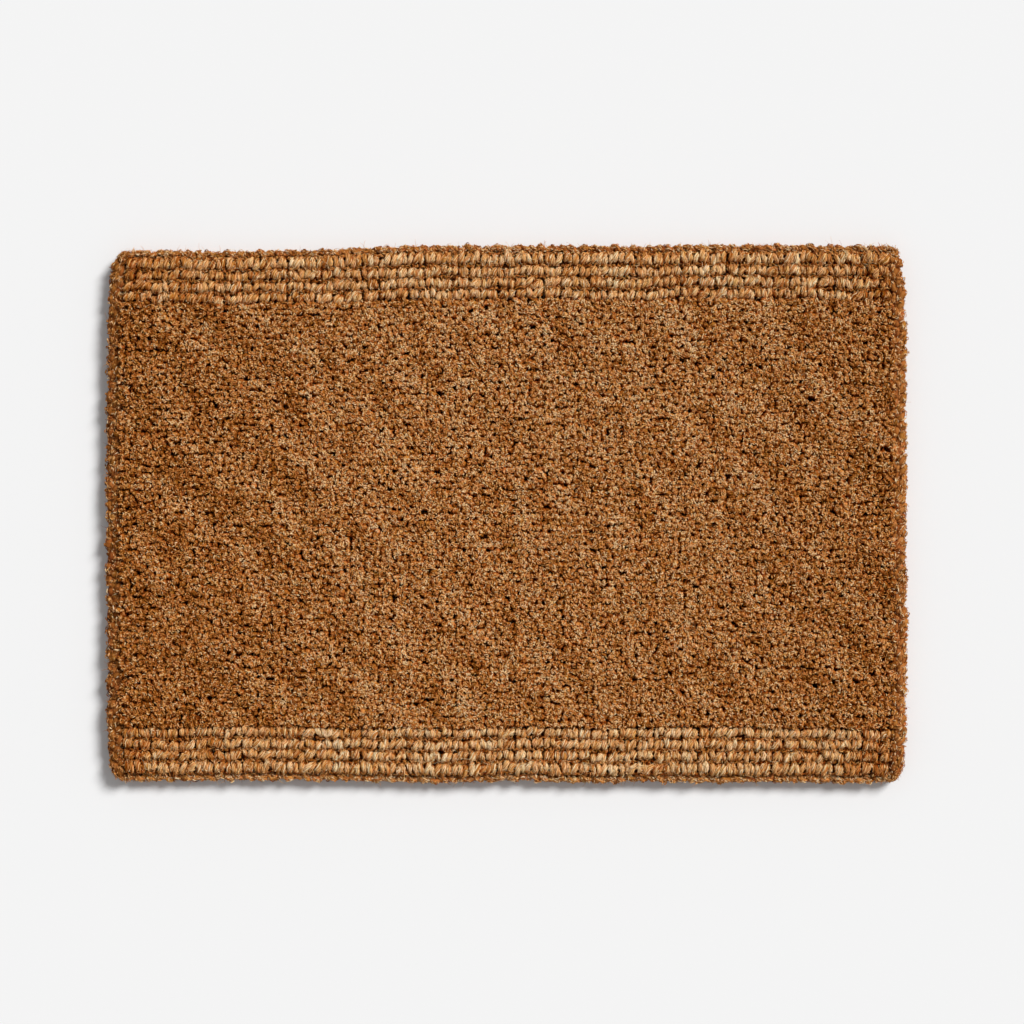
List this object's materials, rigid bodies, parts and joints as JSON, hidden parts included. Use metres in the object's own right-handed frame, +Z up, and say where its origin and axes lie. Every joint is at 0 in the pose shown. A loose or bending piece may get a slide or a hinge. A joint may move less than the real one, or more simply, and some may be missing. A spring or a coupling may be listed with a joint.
{
  "type": "door mat",
  "caption": "Rectangular hand-loomed coir door mat: dense cut pile field, rows of looped pile along both long edges, braided edges.",
  "frame": {"origin": "centre of the mat's underside", "axes": "+X along the long edges and the pile rows, +Y towards the back long edge, +Z up out of the pile"},
  "size_m": [0.914, 0.614, 0.03],
  "materials": {
    "cut_coir": "brown coir fibre, cut ends upward, dull with small golden highlights",
    "loop_coir": "lighter golden two-ply coir yarn in uncut loops, slightly frayed",
    "braid_coir": "darker red-brown coir yarn, braided and frayed",
    "warp_yarn": "plain twisted coir ground yarn",
    "weft_yarn": "plain twisted coir ground cord",
    "twine": "thin dull coir sewing twine"
  },
  "bodies": {
    "root": {"cut_pile_row_01": "cut_coir", "cut_pile_row_02": "cut_coir", "cut_pile_row_03": "cut_coir", "cut_pile_row_04": "cut_coir", "cut_pile_row_05": "cut_coir", "cut_pile_row_06": "cut_coir", "cut_pile_row_07": "cut_coir", "cut_pile_row_08": "cut_coir", "cut_pile_row_09": "cut_coir", "cut_pile_row_10": "cut_coir", "cut_pile_row_11": "cut_coir", "cut_pile_row_12": "cut_coir", "cut_pile_row_13": "cut_coir", "cut_pile_row_14": "cut_coir", "cut_pile_row_15": "cut_coir", "cut_pile_row_16": "cut_coir", "cut_pile_row_17": "cut_coir", "cut_pile_row_18": "cut_coir", "cut_pile_row_19": "cut_coir", "cut_pile_row_20": "cut_coir", "cut_pile_row_21": "cut_coir", "cut_pile_row_22": "cut_coir", "cut_pile_row_23": "cut_coir", "cut_pile_row_24": "cut_coir", "cut_pile_row_25": "cut_coir", "cut_pile_row_26": "cut_coir", "cut_pile_row_27": "cut_coir", "cut_pile_row_28": "cut_coir", "cut_pile_row_29": "cut_coir", "cut_pile_row_30": "cut_coir", "cut_pile_row_31": "cut_coir", "cut_pile_row_32": "cut_coir", "cut_pile_row_33": "cut_coir", "cut_pile_row_34": "cut_coir", "cut_pile_row_35": "cut_coir", "cut_pile_row_36": "cut_coir", "loop_row_front_1": "loop_coir", "loop_row_front_2": "loop_coir", "loop_row_front_3": "loop_coir", "loop_row_front_4": "loop_coir", "loop_row_back_1": "loop_coir", "loop_row_back_2": "loop_coir", "loop_row_back_3": "loop_coir", "loop_row_back_4": "loop_coir", "edge_braid_left": "braid_coir", "edge_braid_right": "braid_coir", "edge_braid_front": "braid_coir", "edge_braid_back": "braid_coir", "stuffer_warps": "warp_yarn", "chain_warps": "warp_yarn", "weft_cords": "weft_yarn", "sewing_twine": "twine"}
  },
  "joints": []
}
